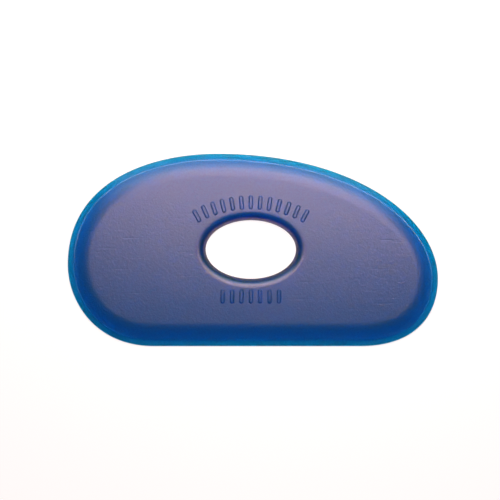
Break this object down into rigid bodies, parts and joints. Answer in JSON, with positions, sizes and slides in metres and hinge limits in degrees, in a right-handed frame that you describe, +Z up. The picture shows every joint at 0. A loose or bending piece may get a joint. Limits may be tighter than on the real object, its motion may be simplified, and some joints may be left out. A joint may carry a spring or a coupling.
{
  "type": "pottery rib",
  "caption": "Flexible polyurethane pottery rib with one straight and one curved working edge, a thin lip all round and an oval finger hole.",
  "frame": {"origin": "on the flat back, under the middle of the rib's length and width", "axes": "+X along the straight edge, towards the steeper end; +Y across the rib, from the straight edge to the curved edge; +Z up through the thickness, out of the face with the raised bars"},
  "size_m": [0.127, 0.066, 0.0049],
  "materials": {
    "blue_polyurethane": "matte"
  },
  "bodies": {
    "root": {"rib_body": "blue_polyurethane"}
  },
  "joints": []
}
